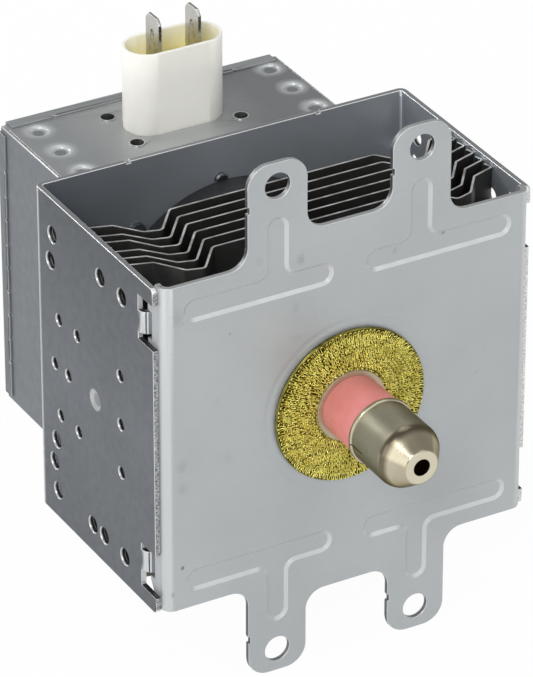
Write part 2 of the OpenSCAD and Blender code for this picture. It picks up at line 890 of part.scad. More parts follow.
// Open helix between the two end hats.
coil_turns = 8;
coil_steps = 14;
coil_sides = 6;
coil_n = coil_turns * coil_steps;
coil_from = hat_front + filament_wire / 2;
coil_rise = hat_back - hat_front - filament_wire;
coil_points = [for (i = [0 : coil_n]) for (j = [0 : coil_sides - 1])
    let (a = 360 * i / coil_steps)
    let (b = 360 * j / coil_sides)
    let (r = (filament_d + filament_wire * cos(b)) / 2)
    [r * cos(a), coil_from + coil_rise * i / coil_n + filament_wire * sin(b) / 2, r * sin(a)]];
coil_faces = concat(
    [[for (j = [0 : coil_sides - 1]) j]],
    [for (i = [0 : coil_n - 1]) for (j = [0 : coil_sides - 1])
        [i * coil_sides + j, (i + 1) * coil_sides + j, i * coil_sides + (j + 1) % coil_sides]],
    [for (i = [0 : coil_n - 1]) for (j = [0 : coil_sides - 1])
        [i * coil_sides + (j + 1) % coil_sides, (i + 1) * coil_sides + j,
            (i + 1) * coil_sides + (j + 1) % coil_sides]],
    [[for (j = [coil_sides - 1 : -1 : 0]) coil_n * coil_sides + j]]);

module filament() {
    color([0.40, 0.40, 0.42])
        polyhedron(coil_points, coil_faces);
}

module front_end_hat() {
    color([0.50, 0.50, 0.52])
        spun_y(hat_front - hat_t)
            translate([lead_d / 2, 0])
                square([(hat_d - lead_d) / 2, hat_t]);
}

module rear_end_hat() {
    color([0.50, 0.50, 0.52])
        difference() {
            spun_y(hat_back)
                translate([lead_d / 2 + 0.5, 0])
                    square([(hat_d - lead_d) / 2 - 0.5, hat_t]);
            translate([side_x, 0, 0])
                along_y(hat_back + 0.5)
                    cylinder(d = lead_d, h = hat_t);
        }
}

module centre_lead() {
    color([0.58, 0.58, 0.60])
        along_y(hat_front - hat_t)
            cylinder(d = lead_d, h = lead_end - hat_front + hat_t);
}

module side_lead() {
    color([0.58, 0.58, 0.60])
        translate([side_x, 0, 0])
            along_y(hat_back + 0.5)
                cylinder(d = lead_d, h = lead_end - hat_back - 0.5);
}

module input_sleeve() {
    wide = anode_d / 2 - 1.6;
    color([0.74, 0.74, 0.72])
        spun_y(0)
            polygon([[sleeve_r - sleeve_t, rear_pole_y], [wide, rear_pole_y],
                [wide, rear_seat], [sleeve_r, rear_seat], [sleeve_r, stem_front + 3],
                [sleeve_r - sleeve_t, stem_front + 3]]);
}

module stem_ceramic() {
    color([0.90, 0.88, 0.84])
        difference() {
            spun_y(stem_front)
                square([sleeve_r - sleeve_t, stem_back - stem_front]);
            for (x = [0, side_x])
                translate([x, 0, 0])
                    along_y(stem_front - 1)
                        cylinder(d = lead_d, h = stem_back - stem_front + 2);
        }
}

module box_place() {
    translate([0, 0, box_mid])
        children();
}

module filter_box() {
    color([0.58, 0.60, 0.61])
        difference() {
            box_place()
                union() {
                    difference() {
                        sheet_xz(yoke_d, box_d)
                            rounded_rect(box_w, box_h, 0.5);
                        sheet_xz(yoke_d + box_t, box_d)
                            square([box_w - 2 * box_t, box_h - 2 * box_t], center = true);
                    }
                    for (sx = [0, 1])
                        for (sz = [0, 1])
                            mirror([sx, 0, 0])
                                mirror([0, 0, sz])
                                    translate([lap_x, yoke_d + 3, box_h / 2 - 2 * box_t])
                                        cube([lap_w + 0.2, box_d - 6, box_t + 0.1]);
                }
            box_place()
                for (x = [clinch_left, clinch_right])
                    for (k = [-1 : 1])
                        for (sz = [0, 1])
                            mirror([0, 0, sz])
                                translate([x, clinch_at(x) + k * clinch_pitch, box_h / 2]) {
                                    translate([0, 0, -0.25])
                                        cylinder(d1 = 4.2, d2 = 5.7, h = 0.25);
                                    translate([0, 0, -0.6])
                                        cylinder(d = 4.2, h = 0.7);
                                }
            box_place()
                for (sx = [-1, 1])
                    translate([sx * (box_w / 2 - box_t - 0.1) - 0.1, yoke_d + 0.8, box_h / 2 - 0.3])
                        cube([0.2, box_d, 1]);
            along_y(yoke_d - 1)
                cylinder(d = stem_hole_d, h = box_t + 2);
            translate([shell_x, socket_mid, panel_in - 1])
                linear_extrude(box_t + 2)
                    oval(socket_l + 2 * socket_clear, socket_w + 2 * socket_clear);
            at_eyelets()
                translate([0, 0, panel_in - 1])
                    cylinder(d = eyelet_d, h = box_t + 2);
        }
}

module filter_box_cover() {
    back = box_back + box_t;
    color([0.56, 0.58, 0.59])
        box_place()
            difference() {
                union() {
                    sheet_xz(box_back, box_t) {
                        square([box_w + 2 * box_t, box_h - 3], center = true);
                        square([box_w - 3, box_h + 2 * box_t], center = true);
                    }
                    for (s = [0, 1])
                        mirror([0, 0, s])
                            translate([-box_w / 2 + 1.5, back - lid_lap, box_h / 2])
                                cube([box_w - 3, lid_lap, box_t]);
                    for (s = [0, 1])
                        mirror([s, 0, 0])
                            translate([box_w / 2, back - lid_lap, -box_h / 2 + 1.5])
                                cube([box_t, lid_lap, box_h - 3]);
                }
                for (s = [-1, 1])
                    for (k = [-4 : 4])
                        translate([s * box_w / 2 - 2, back - lid_lap, k * 6.3])
                            rotate([0, 90, 0])
                                cylinder(d = 0.9, h = 4);
                for (s = [-1, 1])
                    for (x = [-23.5, 23.5])
                        translate([x, back - lid_lap, s * box_h / 2 - 2])
                            cylinder(d = 0.9, h = 4);
            }
}

module at_eyelets() {
    for (sx = [-1, 1])
        for (sy = [-1, 1])
            translate([socket_x + sx * eyelet_x / 2, socket_mid + sy * eyelet_y / 2, 0])
                children();
}

module connector_body() {
    color([0.93, 0.92, 0.87])
        translate([shell_x, socket_mid, panel_in])
            linear_extrude(rim_z - panel_in)
                difference() {
                    oval(socket_l, socket_w);
                    oval(socket_l - 2 * socket_wall, socket_w - 2 * socket_wall);
                }
}

// Flat tab above, round rod below, in one piece.
module terminal(s) {
    translate([socket_x + s * tab_gap / 2, socket_mid, 0])
        difference() {
            union() {
                sheet_yz(-tab_t / 2, tab_t)
                    polygon([[-tab_w / 2, tab_low], [tab_w / 2, tab_low],
                        [tab_w / 2, tab_top - 1.4], [tab_w / 2 - 1.2, tab_top],
                        [-tab_w / 2 + 1.2, tab_top], [-tab_w / 2, tab_top - 1.4]]);
                translate([0, 0, rod_low])
                    cylinder(d = rod_d, h = tab_low + 1 - rod_low);
            }
            translate([-2, 0, tab_top - 4.2])
                rotate([0, 90, 0])
                    cylinder(d = tab_hole_d, h = 4);
        }
}

module terminal_left() {
    color([0.78, 0.78, 0.78])
        terminal(-1);
}

module terminal_right() {
    color([0.78, 0.78, 0.78])
        terminal(1);
}

module connector_potting() {
    color([0.86, 0.76, 0.36])
        difference() {
            translate([shell_x, socket_mid, panel_in])
                linear_extrude(potting_z - panel_in)
                    oval(socket_l - 2 * socket_wall, socket_w - 2 * socket_wall);
            terminal(-1);
            terminal(1);
        }
}

module capacitor_flange() {
    color([0.70, 0.71, 0.72])
        difference() {
            union() {
                translate([socket_x, socket_mid, plate_cap_z])
                    linear_extrude(plate_cap_t)
                        rounded_rect(eyelet_x + 7, eyelet_y + 6.4, 2.5);
                at_eyelets()
                    translate([0, 0, panel_in - 0.2])
                        cylinder(d = eyelet_d, h = box_t + 0.5);
            }
            at_eyelets()
                translate([0, 0, plate_cap_z - 1])
                    cylinder(d = eyelet_hole_d, h = plate_cap_t + box_t + 4);
            for (s = [-1, 1])
                translate([socket_x + s * tab_gap / 2, socket_mid, plate_cap_z - 1])
                    cylinder(d = rod_d + 3.6, h = plate_cap_t + 2);
        }
}

module capacitor_case() {
    color([0.90, 0.89, 0.85])
        difference() {
            translate([socket_x, socket_mid, case_z])
                linear_extrude(case_h)
                    oval(socket_l - 0.6, socket_w);
            translate([socket_x, socket_mid, case_z + case_wall])
                linear_extrude(case_h)
                    oval(socket_l - 0.6 - 2 * case_wall, socket_w - 2 * case_wall);
            for (s = [-1, 1])
                translate([socket_x + s * tab_gap / 2, socket_mid, case_z - 1])
                    cylinder(d = rod_d, h = case_h);
        }
}

module capacitor_ceramic() {
    color([0.80, 0.74, 0.62])
        difference() {
            translate([socket_x, socket_mid, case_z + case_wall])
                linear_extrude(case_h - case_wall)
                    oval(socket_l - 0.6 - 2 * case_wall, socket_w - 2 * case_wall);
            for (s = [-1, 1])
                translate([socket_x + s * tab_gap / 2, socket_mid, case_z])
                    cylinder(d = rod_d, h = case_h + 1);
        }
}

// Close-laid winding with one tail up to a terminal rod and one to a cathode lead.
module choke(s) {
    coil_x = socket_x + s * choke_x;
    near_x = coil_x - s * choke_r;
    upper = [near_x, choke_y, choke_top];
    lower = [near_x, choke_y, choke_top - (choke_turns - 1) * choke_step];
    rod_foot = [socket_x + s * tab_gap / 2, socket_mid, rod_low + 1.2];
    tail = [s < 0 ? 0 : side_x, lead_end - 1.2, 0];
    color([0.78, 0.46, 0.30])
        difference() {
            union() {
                translate([coil_x, choke_y, 0])
                    rotate_extrude()
                        for (k = [0 : choke_turns - 1])
                            translate([choke_r, choke_top - k * choke_step])
                                circle(d = choke_wire);
                wire(upper, rod_foot, choke_wire);
                wire(lower, tail + unit(lower - tail) * lead_d / 4, choke_wire);
            }
            terminal(s);
            centre_lead();
            side_lead();
        }
}

module core(s) {
    color([0.20, 0.20, 0.21])
        translate([socket_x + s * choke_x, choke_y, choke_top - (choke_turns - 1) * choke_step - 1.4])
            cylinder(d = core_d, h = (choke_turns - 1) * choke_step + 2.8);
}

yoke_channel();
mounting_plate();
filter_box();
filter_box_cover();
connector_body();
connector_potting();
terminal_left();
terminal_right();
capacitor_flange();
capacitor_case();
capacitor_ceramic();
fin(0);  // fin_1
fin(1);  // fin_2
fin(2);  // fin_3
fin(3);  // fin_4
fin(4);  // fin_5
fin(5);  // fin_6
front_magnet();
rear_magnet();
gasket_mesh();
output_sleeve();
antenna_ceramic();
antenna_cap();
seal_cup();
exhaust_tube();
antenna_lead();
anode_cylinder();
vane(0);  // vane_1
vane(1);  // vane_2
vane(2);  // vane_3
vane(3);  // vane_4
vane(4);  // vane_5
vane(5);  // vane_6
vane(6);  // vane_7
vane(7);  // vane_8
vane(8);  // vane_9
vane(9);  // vane_10
strap(strap_in, vane_front + 0.25);  // strap_front_inner
strap(strap_out, vane_front + 0.25);  // strap_front_outer
strap(strap_in, vane_back - 0.25 - strap_h);  // strap_rear_inner
strap(strap_out, vane_back - 0.25 - strap_h);  // strap_rear_outer
front_pole_piece();
rear_pole_piece();
filament();
front_end_hat();
rear_end_hat();
centre_lead();
side_lead();
input_sleeve();
stem_ceramic();
choke(-1);  // choke_left
choke(1);  // choke_right
core(-1);  // core_left
core(1);  // core_right
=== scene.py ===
import json
import math
import random

import bpy
import numpy as np
from mathutils import Matrix, Vector

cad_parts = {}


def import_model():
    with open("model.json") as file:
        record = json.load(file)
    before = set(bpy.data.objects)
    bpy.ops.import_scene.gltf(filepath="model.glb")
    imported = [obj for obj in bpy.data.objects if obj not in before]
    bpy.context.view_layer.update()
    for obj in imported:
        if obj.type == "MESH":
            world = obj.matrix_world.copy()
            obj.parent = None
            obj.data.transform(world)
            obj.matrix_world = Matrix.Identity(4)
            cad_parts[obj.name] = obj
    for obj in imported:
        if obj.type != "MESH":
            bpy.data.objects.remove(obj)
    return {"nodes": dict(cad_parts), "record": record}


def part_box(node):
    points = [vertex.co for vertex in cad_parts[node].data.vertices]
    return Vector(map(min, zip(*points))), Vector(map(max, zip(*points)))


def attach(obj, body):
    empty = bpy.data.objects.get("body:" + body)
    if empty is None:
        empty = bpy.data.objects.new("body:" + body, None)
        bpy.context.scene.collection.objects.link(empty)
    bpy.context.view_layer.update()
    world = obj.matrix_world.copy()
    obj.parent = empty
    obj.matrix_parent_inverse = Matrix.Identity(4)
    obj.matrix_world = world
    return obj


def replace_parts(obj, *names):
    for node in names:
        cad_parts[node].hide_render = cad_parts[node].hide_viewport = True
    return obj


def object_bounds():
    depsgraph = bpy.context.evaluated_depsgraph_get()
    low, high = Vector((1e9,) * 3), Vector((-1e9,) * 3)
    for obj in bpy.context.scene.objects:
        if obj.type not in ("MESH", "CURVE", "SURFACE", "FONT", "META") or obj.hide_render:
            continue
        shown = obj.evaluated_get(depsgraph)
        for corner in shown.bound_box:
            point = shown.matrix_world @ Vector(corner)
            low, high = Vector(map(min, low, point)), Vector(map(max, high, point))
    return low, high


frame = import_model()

cad_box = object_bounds()
MM = 0.001

# Camera, from the photograph's perspective
CAMERA_AZIMUTH = math.radians(-29.373)
CAMERA_ELEVATION = math.radians(30.093)
CAMERA_DISTANCE = 1149.83 * MM
CAMERA_RIGHT = -18.12 * MM
CAMERA_UP = 14.15 * MM
CAMERA_LENS = 277.1

# Places on the part that materials and pieces refer to
BOX_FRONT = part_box("filter_box")[0].y
CLINCH_MIDDLE = 0.9 * MM
CLINCH_X = 30.6 * MM
CLINCH_Y = BOX_FRONT + 22.4 * MM
CLINCH_SKEW = 0.7 * MM
CLINCH_PITCH = 10.85 * MM
CLINCH_WOBBLE = 1.2 * MM
YOKE_LOW, YOKE_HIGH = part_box("yoke_channel")
SHEET_T = 1.3 * MM
NOTCH_BACK = 9.0 * MM
DIMPLE_Y = 29.7 * MM
DIMPLE_Z = -0.9 * MM
DIMPLE_R = 2.7 * MM
BACK_WALL = YOKE_HIGH.y - SHEET_T
LUG_T = 1.0 * MM
LUG_R = 1.6 * MM
LUG_X = -1.1 * MM
LUG_REACH = 40 * MM
MAGNET_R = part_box("rear_magnet")[1].x
CAP_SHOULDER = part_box("antenna_cap")[0].y + 5.4 * MM
SOCKET_LOW, SOCKET_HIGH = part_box("connector_body")
SOCKET_X = (SOCKET_LOW.x + SOCKET_HIGH.x) / 2
SOCKET_Y = (SOCKET_LOW.y + SOCKET_HIGH.y) / 2
SOCKET_HALF_WIDTH = (SOCKET_HIGH.y - SOCKET_LOW.y) / 2
POTTING_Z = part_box("connector_potting")[1].z
GASKET_LOW, GASKET_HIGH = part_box("gasket_mesh")
GASKET_R = GASKET_HIGH.x
GASKET_BORE_R = 8.65 * MM
GASKET_T = -GASKET_LOW.y
SLOTS = {row["node"]: row["material_slot"] for row in frame["record"]["subparts"]}


class Shader:
    """A principled material whose textures live in object space, in metres."""

    def __init__(self, name, colour, metallic=0.0, roughness=0.5, **sockets):
        self.mat = bpy.data.materials.new(name)
        self.mat.use_nodes = True
        self.tree = self.mat.node_tree
        self.bsdf = self.tree.nodes["Principled BSDF"]
        self.bsdf.inputs["Base Color"].default_value = (*colour, 1.0)
        self.bsdf.inputs["Metallic"].default_value = metallic
        self.bsdf.inputs["Roughness"].default_value = roughness
        for socket, value in sockets.items():
            self.bsdf.inputs[socket.replace("_", " ")].default_value = value
        self.place = self.node("ShaderNodeTexCoord").outputs["Object"]

    def node(self, kind, inputs=(), **settings):
        made = self.tree.nodes.new(kind)
        for key, value in settings.items():
            setattr(made, key, value)
        for key, value in dict(inputs).items():
            self.put(made.inputs[key], value)
        return made

    def put(self, socket, value):
        if isinstance(value, bpy.types.NodeSocket):
            self.tree.links.new(value, socket)
        else:
            socket.default_value = value

    def math(self, operation, a, b=0.0):
        return self.node("ShaderNodeMath", {0: a, 1: b}, operation=operation).outputs[0]

    def product(self, first, *others):
        for other in others:
            first = self.math("MULTIPLY", first, other)
        return first

    def above(self, value, limit):
        return self.math("GREATER_THAN", value, limit)

    def below(self, value, limit):
        return self.math("LESS_THAN", value, limit)

    def magnitude(self, value):
        return self.math("ABSOLUTE", value)

    def distance(self, a, b):
        squares = self.math("ADD", self.math("POWER", a, 2), self.math("POWER", b, 2))
        return self.math("SQRT", squares)

    def noise(self, scale, detail=3.0, roughness=0.55, stretch=(1, 1, 1)):
        place = self.node("ShaderNodeMapping", {"Vector": self.place, "Scale": stretch})
        inputs = {"Vector": place.outputs[0], "Scale": scale, "Detail": detail, "Roughness": roughness}
        return self.node("ShaderNodeTexNoise", inputs).outputs["Fac"]

    def ramp(self, factor, low, high):
        """Maps the factor from low[0]..high[0] to low[1]..high[1], and holds it there beyond them."""
        inputs = {"Value": factor, "From Min": low[0], "From Max": high[0]}
        inputs.update({"To Min": low[1], "To Max": high[1]})
        return self.node("ShaderNodeMapRange", inputs).outputs["Result"]

    def mix(self, factor, a, b):
        made = self.node("ShaderNodeMix", data_type="RGBA")
        self.put(made.inputs[0], factor)
        for socket, value in ((made.inputs[6], a), (made.inputs[7], b)):
            self.put(socket, (*value, 1.0) if isinstance(value, tuple) else value)
        return made.outputs[2]

    def axes(self):
        return self.node("ShaderNodeSeparateXYZ", {0: self.place}).outputs

    def facing(self):
        normal = self.node("ShaderNodeTexCoord").outputs["Normal"]
        return self.node("ShaderNodeSeparateXYZ", {0: normal}).outputs

    def edges(self, flat, full):
        """1 where the surface turns between two of the part's main directions, 0 on its flats."""
        facing = self.facing()
        most = self.math("MAXIMUM", self.magnitude(facing["X"]), self.magnitude(facing["Y"]))
        most = self.math("MAXIMUM", most, self.magnitude(facing["Z"]))
        return self.ramp(most, (flat, 0.0), (full, 1.0))

    def colour(self, output):
        self.put(self.bsdf.inputs["Base Color"], output)

    def roughness(self, output):
        self.put(self.bsdf.inputs["Roughness"], output)

    def bump(self, height, strength, distance):
        inputs = {"Height": height, "Strength": strength, "Distance": distance}
        made = self.node("ShaderNodeBump", inputs)
        self.put(self.bsdf.inputs["Normal"], made.outputs[0])


# Zinc-plated sheet
# Edge tone: partly burnished wear, partly a painted highlight
WORN_GLINT_TONE = (0.86, 0.87, 0.87)
WORN_GLINT_FLAT = 0.995
WORN_GLINT_FULL = 0.9


def scaled(colour, share):
    return tuple(share * part for part in colour)


def zinc_sheet(name, light, dark, metallic, edge, across=None, rims=None, sides=None, finish=None):
    """Zinc-plated sheet: cloudy tone, specks and stains, and burnished edges with a painted highlight.

    across names the axis through the sheet, so that the walls of its holes stay dull, and rims
    narrows the burnish and its painted highlight further. sides is a tone of painted shade for the faces
    to left and right. finish adds the tones of one piece.
    """
    shader = Shader(name, light, metallic=metallic, roughness=0.4)
    facing = shader.facing()
    clouds = shader.ramp(shader.noise(30, 4), (0.38, 0.0), (0.66, 1.0))
    tone = shader.mix(clouds, light, dark)
    stains = shader.ramp(shader.noise(170, 5, 0.65), (0.64, 0.0), (0.78, 0.25))
    tone = shader.mix(stains, tone, scaled(dark, 0.55))
    specks = shader.ramp(shader.noise(1100, 2, 0.4), (0.72, 0.0), (0.77, 0.25))
    tone = shader.mix(specks, tone, scaled(dark, 0.5))
    # Painted shade on the faces to left and right
    if sides:
        side = shader.ramp(shader.magnitude(facing["X"]), (0.75, 0.0), (0.95, 1.0))
        tone = shader.mix(side, tone, sides)
    # Edges lightened: burnished wear plus a painted highlight
    worn_glint = shader.product(shader.edges(WORN_GLINT_FLAT, WORN_GLINT_FULL), edge)
    if across:
        outer = shader.ramp(shader.magnitude(facing[across]), (0.15, 0.0), (0.4, 1.0))
        worn_glint = shader.product(worn_glint, rims(shader, outer) if rims else outer)
    if finish:
        tone = finish(shader, facing, tone)
    shader.colour(shader.mix(worn_glint, tone, WORN_GLINT_TONE))
    shader.roughness(shader.ramp(shader.noise(420, 5), (0.3, 0.32), (0.7, 0.46)))
    shader.bump(shader.noise(2600, 4, 0.6), 0.08, 0.00012)
    return shader.mat


# The yoke's burnish and painted highlight: how strong on its walls, how much less in the dimple, how wide
# at its ends
WALL_WEAR_GLINT = 0.7
DIMPLE_WEAR_GLINT_LOSS = 0.4
END_BAND = 1.5 * MM
# Dark tone of the lugs on its back wall
LUG_TONE = (0.075, 0.082, 0.09)


def yoke_rims(shader, rims):
    """Keeps the burnish and its painted highlight to the walls' outer faces and the channel's ends,
    fainter in the dimple.
    """
    axes = shader.axes()
    walls = shader.above(shader.magnitude(axes["X"]), YOKE_HIGH.x - SHEET_T - 0.1 * MM)
    ends = shader.above(shader.magnitude(axes["Z"]), YOKE_HIGH.z - END_BAND)
    rims = shader.math("MAXIMUM", shader.product(rims, walls, WALL_WEAR_GLINT), ends)
    return shader.math("SUBTRACT", rims, shader.product(in_dimple(shader), DIMPLE_WEAR_GLINT_LOSS))


def in_dimple(shader):
    """1 inside the round dimple of the yoke's walls, else 0."""
    axes = shader.axes()
    along = shader.math("SUBTRACT", axes["Y"], DIMPLE_Y)
    up = shader.math("SUBTRACT", axes["Z"], DIMPLE_Z)
    return shader.below(shader.distance(along, up), DIMPLE_R)


def yoke_tone(shader, facing, tone):
    """The walls outside, then the inside of the channel, then holes and cut edges."""
    axes = shader.axes()
    tone = wall_tone(shader, axes, facing, tone)
    tone = channel_tone(shader, axes, tone)
    return cut_tone(shader, axes, facing, tone)


def wall_tone(shader, axes, facing, tone):
    """Painted shade towards the head and foot, scratched, with a painted highlight in the dimple and along
    the rear bend.
    """
    head = shader.ramp(axes["Z"], (0.0, 0.0), (YOKE_HIGH.z, 0.8))
    foot = shader.ramp(axes["Z"], (0.0, 0.0), (YOKE_LOW.z, 0.495))
    # Painted shade, darkest at the head and the foot of the wall
    tone = shader.mix(shader.math("MAXIMUM", head, foot), tone, (0.056, 0.064, 0.074))
    scratch = shader.ramp(shader.noise(26, 6, 0.62, stretch=(1, 5, 22)), (0.66, 0.0), (0.72, 0.12))
    tone = shader.mix(scratch, tone, (0.4, 0.41, 0.42))
    # Painted highlight across the dimple, brightest towards the rear
    lit = shader.ramp(axes["Y"], (DIMPLE_Y - DIMPLE_R, 0.15), (DIMPLE_Y + DIMPLE_R, 0.85))
    tone = shader.mix(shader.product(in_dimple(shader), lit), tone, (0.36, 0.37, 0.38))
    # Painted highlight along the rear bend
    bend = shader.ramp(axes["Y"], (YOKE_HIGH.y - 2.4 * MM, 0.0), (YOKE_HIGH.y - 1.7 * MM, 0.5))
    outward = shader.above(shader.magnitude(facing["X"]), 0.4)
    return shader.mix(shader.product(bend, outward), tone, (0.8, 0.81, 0.82))


def channel_tone(shader, axes, tone):
    """Painted light inside the channel, most at the right, with dark lugs on its back wall."""
    out = shader.magnitude(axes["X"])
    inside = shader.product(shader.below(out, YOKE_HIGH.x - SHEET_T / 2),
                            shader.below(axes["Y"], YOKE_HIGH.y - SHEET_T / 2))
    right = shader.ramp(axes["X"], (YOKE_LOW.x, 0.0), (0.0, 1.0))
    # Painted light inside the channel, with painted shade towards the left
    tone = shader.mix(inside, tone, shader.mix(right, (0.19, 0.212, 0.24), (0.37, 0.40, 0.435)))
    proud = shader.math("SUBTRACT", BACK_WALL, axes["Y"])
    lug = shader.product(shader.above(proud, 0.05 * MM), shader.below(proud, LUG_T + 0.1 * MM),
                         shader.below(out, LUG_REACH))
    return shader.mix(lug, tone, LUG_TONE)


def cut_tone(shader, axes, facing, tone):
    """Painted shade in the bores, painted light on the steps behind the notches, a grainy sheared front
    edge with painted shade on its left half, and a dull top.
    """
    in_wall = shader.above(shader.magnitude(axes["X"]), YOKE_HIGH.x - SHEET_T + 0.05 * MM)
    # Painted shade in the bores of the wall's holes
    bore = shader.product(in_wall, shader.below(shader.magnitude(facing["X"]), 0.25))
    tone = shader.mix(bore, tone, (0.035, 0.036, 0.038))
    shear = shader.product(shader.below(facing["Y"], -0.8), in_wall)
    step = shader.magnitude(shader.math("SUBTRACT", axes["Y"], NOTCH_BACK))
    # Painted light on the cut faces behind the notches
    tone = shader.mix(shader.product(shear, shader.below(step, 0.25 * MM)), tone, (0.75, 0.76, 0.76))
    grain = shader.ramp(shader.noise(2600, 2, 0.5, stretch=(0.6, 1, 1)), (0.36, 0.0), (0.64, 1.0))
    # Grain on the sheared front edge, with painted shade on its left half
    right = shader.above(axes["X"], 0.0)
    rope = shader.mix(grain, shader.mix(right, (0.10, 0.105, 0.11), (0.42, 0.42, 0.42)),
                      shader.mix(right, (0.46, 0.47, 0.475), (0.80, 0.80, 0.79)))
    front = shader.below(axes["Y"], YOKE_LOW.y + 0.8 * MM)
    tone = shader.mix(shader.product(shear, front), tone, rope)
    top = shader.product(shader.above(facing["Z"], 0.9), shader.above(axes["Z"], YOKE_HIGH.z - 1.0 * MM))
    return shader.mix(top, tone, (0.25, 0.26, 0.27))


# Marks worn into the plate's face: across, up and radius in mm, depth of tone
PLATE_MARKS = (
    (-12.3, 39.6, 1.0, 0.24), (-22.5, 41.8, 0.8, 0.12), (-13.4, 27.8, 0.9, 0.14),
    (11.7, 34.9, 0.5, 0.25), (23.9, 36.3, 0.5, 0.60), (-29.8, 25.9, 0.3, 0.35),
    (-41.9, -4.0, 1.2, 0.16), (-41.7, -9.9, 1.2, 0.16), (-42.0, -30.1, 0.45, 0.80),
    (-42.8, 33.6, 1.6, 0.16), (-30.5, -5.2, 1.2, 0.08), (-44.4, -36.6, 0.5, 0.50),
)
MARK_STRETCH = 0.75
MARK_TONE = (0.12, 0.12, 0.12)


def plate_tone(shader, facing, tone):
    """Cut edges dull, with painted shade where they face down and painted light where they face up, and a
    few rubbed or pitted marks on the face.
    """
    axes = shader.axes()
    wobble = shader.ramp(shader.noise(1400, 3), (0.3, -0.4), (0.7, 0.4))
    front = shader.below(facing["Y"], -0.2)
    for across, up, radius, depth in PLATE_MARKS:
        dx = shader.math("SUBTRACT", axes["X"], across * MM)
        dz = shader.product(shader.math("SUBTRACT", axes["Z"], up * MM), MARK_STRETCH)
        far = shader.math("ADD", shader.distance(dx, dz), shader.product(wobble, radius * MM))
        mark = shader.ramp(far, (1.3 * radius * MM, 0.0), (0.4 * radius * MM, depth))
        tone = shader.mix(shader.product(mark, front), tone, MARK_TONE)
    edge_on = shader.below(shader.magnitude(facing["Y"]), 0.3)
    rising = shader.above(shader.magnitude(facing["Z"]), 0.3)
    ear = shader.above(shader.magnitude(axes["Z"]), YOKE_HIGH.z + 0.6 * MM)
    cut = shader.product(edge_on, shader.math("MAXIMUM", rising, ear))
    # Painted light on cut edges that face up, painted shade on those that face down
    upward = shader.ramp(facing["Z"], (0.1, 0.0), (0.9, 1.0))
    return shader.mix(cut, tone, shader.mix(upward, (0.09, 0.092, 0.095), (0.36, 0.37, 0.375)))


BOX_LIGHT = (0.36, 0.375, 0.38)
BOX_DARK = (0.31, 0.325, 0.33)
# Painted shade on the faces to left and right of the box and its cover
BOX_SIDE_SHADE = (0.155, 0.168, 0.182)


def box_tone(shader, facing, tone):
    """A painted sheen in front of the socket, painted shade at the right, with a pale ring round each
    clinch.
    """
    across = shader.axes()["X"]
    up = shader.above(facing["Z"], 0.9)
    # Painted sheen on the top in front of the socket
    pale = shader.math("MINIMUM", shader.ramp(across, (-24 * MM, 0.0), (-6 * MM, 1.0)),
                       shader.ramp(across, (14 * MM, 0.0), (4 * MM, 1.0)))
    tone = shader.mix(shader.product(pale, up, 0.6), tone, (0.55, 0.565, 0.56))
    # Painted shade on the top towards the right
    dull = shader.ramp(across, (6 * MM, 0.0), (22 * MM, 0.75))
    tone = shader.mix(shader.product(dull, up), tone, (0.18, 0.19, 0.197))
    off = clinch_distance(shader)
    tone = shader.mix(shader.ramp(off, (5.0 * MM, 0.0), (3.4 * MM, 0.42)), tone, scaled(BOX_LIGHT, 2.0))
    return shader.mix(shader.ramp(off, (2.2 * MM, 0.0), (1.8 * MM, 0.8)), tone, (0.16, 0.17, 0.178))


def clinch_distance(shader):
    """Distance to the nearest clinch in the box's folded panels, a little uneven."""
    axes = shader.axes()
    skew = shader.product(shader.math("SIGN", axes["X"]), CLINCH_SKEW)
    along = shader.math("SUBTRACT", axes["Y"], skew)
    along = shader.math("SUBTRACT", along, CLINCH_Y - CLINCH_PITCH / 2)
    along = shader.math("FLOORED_MODULO", along, CLINCH_PITCH)
    along = shader.math("SUBTRACT", along, CLINCH_PITCH / 2)
    across = shader.magnitude(shader.math("SUBTRACT", axes["X"], CLINCH_MIDDLE))
    across = shader.math("SUBTRACT", across, CLINCH_X)
    wobble = shader.product(shader.noise(260, 2), CLINCH_WOBBLE)
    return shader.math("ADD", shader.distance(along, across), wobble)


def fin_sheet():
    """Aluminium fin: faces darkened with painted shade between the fins, and sheared edges with a painted
    highlight.
    """
    shader = Shader("aluminium_fin", (0.5, 0.5, 0.5), metallic=0.8, roughness=0.38)
    upright = shader.magnitude(shader.facing()["Z"])
    edge = shader.ramp(upright, (0.35, 0.0), (0.8, 1.0))
    # Painted shade on the faces between the fins
    face = shader.mix(shader.noise(90, 4), (0.06, 0.059, 0.057), (0.13, 0.127, 0.122))
    bright = shader.ramp(shader.noise(260, 4), (0.35, 0.0), (0.65, 1.0))
    # Painted highlight on the sheared edges
    burr_highlight = shader.mix(bright, (0.34, 0.34, 0.33), (0.78, 0.78, 0.77))
    shader.colour(shader.mix(edge, face, burr_highlight))
    shader.roughness(shader.ramp(shader.noise(500, 4), (0.3, 0.3), (0.7, 0.45)))
    shader.bump(shader.noise(1800, 3), 0.12, 0.0001)
    return shader.mat


def ferrite():
    """Sintered ferrite: near black, granular, with paler rubbed patches."""
    shader = Shader("ferrite", (0.04, 0.04, 0.042), roughness=0.55)
    rubbed = shader.ramp(shader.noise(120, 5), (0.5, 0.0), (0.75, 1.0))
    shader.colour(shader.mix(rubbed, (0.022, 0.022, 0.024), (0.045, 0.045, 0.048)))
    shader.roughness(shader.ramp(shader.noise(900, 3), (0.3, 0.48), (0.7, 0.66)))
    shader.bump(shader.noise(3000, 4), 0.35, 0.0002)
    return shader.mat


